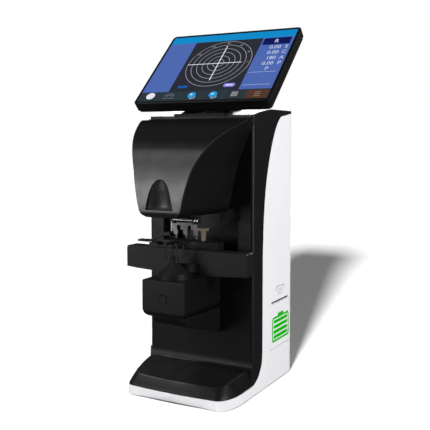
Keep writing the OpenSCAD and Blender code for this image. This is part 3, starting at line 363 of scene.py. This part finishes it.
def tray():
    """Tray at the foot of the column: a broad soft rim round a gentle slope."""
    low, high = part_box("base_tray")
    wall = 2.8 * MM
    lip = low.z + 14.2 * MM
    slope_bend, rim_bend = 1.35, 1.3
    rim_steps, spans = 12, 24
    outer, crease = tray_outlines()
    outer += [(-x, y) for x, y in reversed(outer[:-1])]
    crease += [(-x, y) for x, y in reversed(crease[:-1])]
    count = len(outer)
    front_crease, rear = crease[count // 2][1], high.y

    def top(y):
        run = min(1.0, max(0.0, (y - front_crease) / (rear - front_crease)))
        return lip + (high.z - lip) * (1 - (1 - run) ** slope_bend)

    points = []
    for j in range(rim_steps + 1):
        t = j / rim_steps
        for start, end in zip(outer, crease):
            place = Vector(start).lerp(Vector(end), t ** rim_bend)
            points.append(Vector((place.x, place.y, low.z + (top(end[1]) - low.z) * t)))
    faces = [[j * count + i, (j + 1) * count + i, (j + 1) * count + i + 1, j * count + i + 1]
             for j in range(rim_steps) for i in range(count - 1)]
    first = rim_steps * count
    middle = count // 2
    rows = []
    for i in range(middle):
        right, left = first + i, first + count - 1 - i
        across = [right]
        for k in range(1, spans):
            across.append(len(points))
            points.append(points[right].lerp(points[left], k / spans))
        rows.append(across + [left])
    for one, two in zip(rows, rows[1:]):
        faces += [[one[k], one[k + 1], two[k + 1], two[k]] for k in range(spans)]
    faces.append(rows[-1] + [first + middle])
    mesh = mesh_from("base_tray", points, faces, smooth=True)
    bm = bmesh.new()
    bm.from_mesh(mesh)
    bmesh.ops.recalc_face_normals(bm, faces=bm.faces)
    if sum(f.normal.z for f in bm.faces) < 0:
        bmesh.ops.reverse_faces(bm, faces=bm.faces)
    bm.to_mesh(mesh)
    bm.free()
    piece = add_object("base_tray_fine", mesh, "housing", SLOT_OF["base_tray"])
    shell = piece.modifiers.new("wall", "SOLIDIFY")
    shell.thickness = wall
    shell.offset = -1
    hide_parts("base_tray")
    return piece


tray_piece = tray()


# ---- hand recess ----

def recess_edge(height):
    """Half width and rise of the recess, in mm, from its flat lower edge up to its tip."""
    foot, side, shoulder = 20.4, 16.4, 11.4
    turn, tip = height - 8.4, height - 0.9
    edge = []
    for i in range(11):
        t = i / 10
        edge.append((foot * (1 - t) ** 2 + 2 * t * (1 - t) * side + shoulder * t * t,
                     1.0 + 45.0 * t * (1 - t) + (height - 9.4) * t * t))
    for i in range(1, 9):
        t = i / 8
        edge.append((shoulder * (1 - t) ** 2 + 14.0 * t * (1 - t),
                     turn * (1 - t) ** 2 + tip * (1 - (1 - t) ** 2)))
    return edge


def hand_recess():
    """Scooped hollow under the brow, deepest along its flat lower edge."""
    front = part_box("head_cover")[0].y
    low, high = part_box("chin_recess")
    height = high.z - low.z
    full_depth, end_depth, wall = 8.6 * MM, 0.6 * MM, 0.7 * MM
    brow_start, brow_rise, brow_run = 12 * MM, 2.5 * MM, 22 * MM
    edge = recess_edge(height / MM)
    across = 24
    points, faces = [], []
    for row, (half, rise) in enumerate(edge[:1] + edge):
        z = low.z + rise * MM
        surface = front + brow_rise * max(0.0, (z - low.z - brow_start) / brow_run) ** 2
        rim = max(low.y + 0.1 * MM, surface + 1.3 * MM)
        depth = full_depth * (1 - (rise * MM / height) ** 2) + end_depth
        for k in range(across + 1):
            u = 2 * k / across - 1
            y = rim if row == 0 else rim + depth * (1 - abs(u) ** 2.4)
            points.append((u * max(half, 0.3) * MM, y, z))
    count = across + 1
    for row in range(len(edge)):
        for k in range(across):
            a = row * count + k
            faces.append([a, a + 1, a + count + 1, a + count])
    mesh = mesh_from("hand_recess", points, faces, smooth=True)
    # The hand recess takes the lighter copy of the head's dark skin: painted light in the hollow, not a
    # colour of its own.
    piece = add_object("hand_recess", mesh, "housing", SLOT_OF["chin_recess"], materials["hollow_skin_painted_light"])
    skin = piece.modifiers.new("wall", "SOLIDIFY")
    skin.thickness = wall
    skin.offset = -1
    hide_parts("chin_recess")


hand_recess()


# ---- display ----

def screen_plane():
    """Centre, width direction, height direction and normal of the screen's glass."""
    mesh = frame["nodes"]["screen_glass"].data
    facing = [p for p in mesh.polygons if p.normal.y < -0.1 and p.normal.z > 0.1]
    front = max(facing, key=lambda p: p.area)
    normal = front.normal.normalized()
    across = Vector((1, 0, 0))
    up = normal.cross(across).normalized()
    points = [v.co for v in mesh.vertices if abs((v.co - front.center).dot(normal)) < 1e-5]
    heights = [p.dot(up) for p in points]
    middle = (max(heights) + min(heights)) / 2
    centre = front.center.copy()
    centre.x = 0
    centre += up * (middle - centre.dot(up))
    return centre, across, up, normal


CENTRE, ACROSS, UP, NORMAL = screen_plane()


def on_display(u, v, lift):
    """Point on the display, u mm to the right and v mm up from its centre, lift mm off the glass."""
    return CENTRE + (ACROSS * u + UP * v + NORMAL * lift) * MM


class Layer:
    """Flat shapes of one colour on the display."""

    def __init__(self, name, colour, strength, lift):
        self.name, self.lift = name, lift
        self.material = lit("lit_" + name, colour, strength)
        self.points, self.faces = [], []

    def outline(self, corners):
        start = len(self.points)
        self.points += [on_display(u, v, self.lift) for u, v in corners]
        self.faces.append(list(range(start, start + len(corners))))

    def box(self, u0, v0, u1, v1):
        self.outline([(u0, v0), (u1, v0), (u1, v1), (u0, v1)])

    def round_box(self, u0, v0, u1, v1, r, steps=6):
        corners = []
        centres = ((u1 - r, v0 + r), (u1 - r, v1 - r), (u0 + r, v1 - r), (u0 + r, v0 + r))
        for (cu, cv), start in zip(centres, (-90, 0, 90, 180)):
            for i in range(steps + 1):
                a = math.radians(start + 90 * i / steps)
                corners.append((cu + r * math.cos(a), cv + r * math.sin(a)))
        self.outline(corners)

    def oval(self, u, v, ru, rv, steps=40):
        turn = [2 * math.pi * i / steps for i in range(steps)]
        self.outline([(u + ru * math.cos(a), v + rv * math.sin(a)) for a in turn])

    def ring(self, u, v, r, width, start=0, sweep=360, steps=96):
        low, high = r - width / 2, r + width / 2
        for i in range(steps):
            a, b = (math.radians(start + sweep * (i + k) / steps) for k in (0, 1))
            self.outline([(u + reach * math.cos(turn), v + reach * math.sin(turn))
                          for reach, turn in ((low, a), (high, a), (high, b), (low, b))])

    def text(self, words, u, v, size, weight=0.0, align="CENTER"):
        curve = bpy.data.curves.new("text_" + self.name, "FONT")
        curve.body = words
        curve.size = size
        curve.align_x = align
        curve.align_y = "CENTER"
        curve.offset = weight
        curve.resolution_u = 3
        holder = bpy.data.objects.new("text_" + self.name, curve)
        scene.collection.objects.link(holder)
        bpy.context.view_layer.update()
        shaped = holder.evaluated_get(bpy.context.evaluated_depsgraph_get())
        flat = bpy.data.meshes.new_from_object(shaped)
        start = len(self.points)
        self.points += [on_display(u + p.co.x, v + p.co.y, self.lift) for p in flat.vertices]
        self.faces += [[start + i for i in f.vertices] for f in flat.polygons]
        bpy.data.objects.remove(holder)
        bpy.data.meshes.remove(flat)
        bpy.data.curves.remove(curve)

    def build(self):
        mesh = mesh_from(self.name, self.points, self.faces)
        add_object("display_" + self.name, mesh, "screen", "display", self.material)


def build_display():
    """The measuring page that the screen shows, in mm from its centre."""
    edge_u, edge_v = 105.0, 76.0
    bar_v, tool_v = 59.7, -56.0
    left_u, right_u = -59.0, 55.0
    ring_v = 5.3
    backdrop = Layer("backdrop", (0.020, 0.022, 0.033), 1.0, 0.03)
    backdrop.box(left_u, tool_v, right_u, bar_v)
    sky = Layer("top_bar", (0.0, 0.272, 0.632), 0.95, 0.03)
    sky.box(-edge_u, bar_v, edge_u, edge_v)
    side = Layer("side_panels", (0.078, 0.149, 0.475), 0.95, 0.03)
    side.box(-edge_u, tool_v, left_u, bar_v)
    side.box(right_u, tool_v, edge_u, bar_v)
    tools = Layer("tool_bar", (0.022, 0.034, 0.044), 1.0, 0.03)
    tools.box(-edge_u, -edge_v, edge_u, tool_v)
    tool_gap = Layer("tool_gaps", (0.020, 0.045, 0.060), 1.0, 0.05)
    for i in range(1, 6):
        u = -edge_u + 2 * edge_u * i / 6
        tool_gap.box(u - 1.5, -edge_v + 1, u + 1.5, tool_v - 1)
    header = Layer("header", (0.0, 0.004, 0.09), 1.0, 0.05)
    header.box(57.5, 42.6, 101, 58.6)
    dial = Layer("dial", (0.42, 0.42, 0.44), 1.0, 0.05)
    for i in range(1, 7):
        dial.ring(0, ring_v, 8.6 * i, 0.75)
    for angle in range(0, 180, 30):
        a = math.radians(angle)
        dial.text(str(angle), 47.6 * math.cos(a), ring_v + 47.2 * math.sin(a), 4.6)
    cross = Layer("cross", (0.90, 0.90, 0.92), 1.0, 0.07)
    cross.box(-52, ring_v - 0.65, 38, ring_v + 0.65)
    cross.box(-0.75, -33, 0.75, 46)
    words = Layer("readings", (0.56, 0.61, 0.80), 1.0, 0.08)
    words.text("R", 79, 50.4, 11, 0.25)
    for v, value, unit in ((36, "0.00", "S"), (23.7, "0.00", "C"), (11, "180", "A"), (-1, "0.00", "P")):
        words.text(value, 90, v, 10.5, 0.12, "RIGHT")
        words.text(unit, 98.5, v, 10.5, 0.12)
    words.text("P", 83, -12.8, 10.5, 0.12)
    for v in (-19.7, -47):
        words.box(57.5, v - 0.3, 100, v + 0.3)
    pills = Layer("blue_pill", (0.004, 0.095, 0.42), 1.0, 0.05)
    pills.round_box(-48, -48.6, -31, -43.2, 2.6)
    white = Layer("white_marks", (0.86, 0.84, 0.95), 1.0, 0.06)
    white.oval(-86, -64.4, 7.2, 7.0)
    lilac = Layer("lilac_pill", (0.26, 0.24, 0.85), 1.0, 0.05)
    lilac.round_box(27.5, -49.6, 46, -41.6, 3.9)
    white.round_box(31, -46.6, 42.6, -44.2, 1.1)
    balls = Layer("balls", (0.02, 0.33, 0.72), 1.0, 0.05)
    glints = Layer("glints", (0.55, 0.85, 0.97), 1.0, 0.07)
    for u in (-16, 18.4):
        balls.oval(u, -65, 6.4, 6.2)
        glints.oval(u - 1.4, -63.4, 2.2, 1.7)
        white.ring(u + 1.2, -66.2, 6.6, 0.8, 250, 90, 18)
    icons = Layer("icons", (0.16, 0.21, 0.27), 1.0, 0.05)
    icons.ring(-53.5, -69.5, 9.0, 1.1, 25, 130, 24)
    icons.ring(-53.5, -69.5, 5.6, 1.1, 25, 130, 24)
    icons.box(-63, -70.6, -44, -69.6)
    grid = Layer("grid_icon", (0.33, 0.33, 0.34), 1.0, 0.05)
    for i in range(3):
        for j in range(3):
            grid.box(47.4 + 3.4 * i, -70.2 + 3.4 * j, 50.2 + 3.4 * i, -67.4 + 3.4 * j)
    menu = Layer("menu_box", (0.085, 0.035, 0.018), 1.0, 0.05)
    menu.box(69.5, -75.6, 104, -58.0)
    menu_lines = Layer("menu_lines", (0.30, 0.22, 0.17), 1.0, 0.07)
    for i in range(3):
        menu_lines.box(83, -71.5 + 4 * i, 92, -70.3 + 4 * i)
    for layer in (backdrop, sky, side, tools, tool_gap, header, dial, cross, words, pills, white, lilac,
                  balls, glints, icons, grid, menu, menu_lines):
        layer.build()


build_display()


# ---- printed marks on the printer side ----

def receipt_mark():
    """Grey symbol of a printed receipt above the paper slot."""
    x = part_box("printer_door")[1].x + 0.02 * MM
    y0, z0 = 59 * MM, 127 * MM
    points, faces = [], []

    def bar(y_a, z_a, y_b, z_b):
        start = len(points)
        corners = ((y_a, z_a), (y_b, z_a), (y_b, z_b), (y_a, z_b))
        points.extend([(x, y0 + a * MM, z0 + b * MM) for a, b in corners])
        faces.append([start, start + 1, start + 2, start + 3])

    bar(0, 13.2, 30, 15)
    bar(0, 8, 2, 13.2)
    bar(28, 8, 30, 13.2)
    bar(6, 0, 7.2, 13.2)
    bar(22.8, 0, 24, 13.2)
    for i in range(3):
        bar(9.5, 1.5 + 3.6 * i, 20.5, 3 + 3.6 * i)
    mesh = mesh_from("receipt_mark", points, faces)
    add_object("receipt_mark", mesh, "housing", "white_shell", materials["printed_grey"])


receipt_mark()


# ---- stage, lights and camera ----

def floor():
    """Pale round floor, with a faint glow that only the camera sees, which lightens the shadow."""
    rings = (0.4, 0.8, 1.4, 2.4, 5.0, 14.0)
    steps = 64
    points = [(0, 0, FLOOR_Z)]
    faces = []
    turns = [2 * math.pi * i / steps for i in range(steps)]
    for r in rings:
        points += [(r * math.cos(a), r * math.sin(a), FLOOR_Z) for a in turns]
    for i in range(steps):
        j = (i + 1) % steps
        faces.append([0, 1 + i, 1 + j])
        for k in range(len(rings) - 1):
            a = 1 + k * steps
            b = a + steps
            faces.append([a + i, b + i, b + j, a + j])
    piece = bpy.data.objects.new("floor", mesh_from("floor", points, faces))
    scene.collection.objects.link(piece)
    material, tree, shader, place = node_tree("pale_floor")
    drift = spread(tree, noise(tree, place, 3, 3), 0, 1)
    tone = blend_colours(tree, drift, (0.80, 0.80, 0.805), (0.83, 0.83, 0.83))
    tree.links.new(tone, shader.inputs["Base Color"])
    shader.inputs["Roughness"].default_value = 0.9
    shader.inputs["Specular IOR Level"].default_value = 0.1
    seen = tree.nodes.new("ShaderNodeLightPath")
    glow = spread(tree, seen.outputs["Is Camera Ray"], 0.0, FLOOR_GLOW, 0, 1)
    shader.inputs["Emission Color"].default_value = (1, 1, 1, 1)
    tree.links.new(glow, shader.inputs["Emission Strength"])
    piece.data.materials.append(material)
    piece.visible_glossy = False
    piece.visible_diffuse = False
    return piece


def add_light(name, kind, place, target, power, ground, only):
    """Studio light aimed at a point; it lights all but the ground, or only one piece."""
    light = bpy.data.lights.new(name, kind)
    light.energy = power
    holder = bpy.data.objects.new(name, light)
    holder.location = place
    holder.rotation_mode = "QUATERNION"
    holder.rotation_quaternion = (Vector(target) - Vector(place)).to_track_quat("-Z", "Y")
    scene.collection.objects.link(holder)
    share = bpy.data.collections.new(name + "_share")
    share.objects.link(only or ground)
    for entry in share.collection_objects:
        entry.light_linking.link_state = "INCLUDE" if only else "EXCLUDE"
    holder.light_linking.receiver_collection = share
    return holder


def softbox(name, place, size, power, glossy, ground, only):
    """Rectangular soft light on the instrument, which gloss shows or not."""
    middle = (0, -0.05, 0.25)
    holder = add_light(name, "AREA", place, middle, power, ground, only)
    holder.data.shape = "RECTANGLE"
    holder.data.size, holder.data.size_y = size
    holder.visible_glossy = glossy


def studio(ground):
    """A dim room with a pale backdrop, and soft lights round the instrument."""
    world = bpy.data.worlds.new("studio")
    scene.world = world
    world.use_nodes = True
    tree = world.node_tree
    room = tree.nodes["Background"]
    place = tree.nodes.new("ShaderNodeTexCoord").outputs["Generated"]
    height = tree.nodes.new("ShaderNodeSeparateXYZ")
    tree.links.new(place, height.inputs["Vector"])
    level = spread(tree, height.outputs["Z"], 0, 1, -0.1, 0.7)
    shade = blend_colours(tree, level, (0.10, 0.10, 0.102), (0.035, 0.035, 0.036))
    tree.links.new(shade, room.inputs["Color"])
    backdrop = tree.nodes.new("ShaderNodeBackground")
    backdrop.inputs["Color"].default_value = (1, 1, 1, 1)
    seen = tree.nodes.new("ShaderNodeLightPath")
    choose = tree.nodes.new("ShaderNodeMixShader")
    tree.links.new(seen.outputs["Is Camera Ray"], choose.inputs["Fac"])
    tree.links.new(room.outputs["Background"], choose.inputs[1])
    tree.links.new(backdrop.outputs["Background"], choose.inputs[2])
    tree.links.new(choose.outputs["Shader"], tree.nodes["World Output"].inputs["Surface"])
    # Place, size, power, whether gloss shows it, and the one piece that it lights if not all
    lights = {
        "key": ((-0.55, -1.35, 1.05), (0.45, 0.45), 16, False, None),
        "front_left": ((-0.95, -1.35, 0.40), (0.75, 0.75), 11.5, True, None),
        "middle_left": ((-0.90, -1.15, 0.98), (0.6, 0.45), 2.2, True, None),
        "upper_left": ((-0.78, -0.80, 1.50), (0.6, 0.6), 2.6, True, None),
        "right": ((1.75, -0.35, 0.65), (0.8, 1.3), 37, True, None),
        "back": ((0.3, 1.7, 1.5), (1.2, 0.9), 16, True, None),
        "back_left": ((-0.96, 1.50, 1.15), (1.2, 0.7), 30, True, fine["front_fascia"]),
        "over_tray": ((-0.86, -0.30, 1.45), (0.5, 0.4), 15, True, tray_piece),
        "over_cove": ((-0.86, -0.30, 1.45), (0.5, 0.4), 7, True, fine["front_fascia"]),
    }
    for name, (place, size, power, glossy, only) in lights.items():
        softbox(name, place, size, power, glossy, ground, only)
    sun = add_light("ground", "SUN", (0.212, -0.885, 0.37), (0, 0, 0), 9.6, ground, ground)
    sun.data.angle = math.radians(6)


def camera():
    data = bpy.data.cameras.new("camera")
    holder = bpy.data.objects.new("camera", data)
    scene.collection.objects.link(holder)
    azimuth, elevation = math.radians(28.57), math.radians(3.52)
    holder.location = (0.51157, -0.91196, 0.35625)
    back = Vector((math.sin(azimuth) * math.cos(elevation), -math.cos(azimuth) * math.cos(elevation),
                   math.sin(elevation)))
    holder.rotation_mode = "QUATERNION"
    holder.rotation_quaternion = (-back).to_track_quat("-Z", "Y")
    data.sensor_width = 36
    data.lens = 61.01
    data.shift_y = -0.0698
    data.clip_start, data.clip_end = 0.05, 40
    scene.camera = holder


studio(floor())
camera()
scene.view_settings.view_transform = "Standard"
scene.view_settings.look = "None"
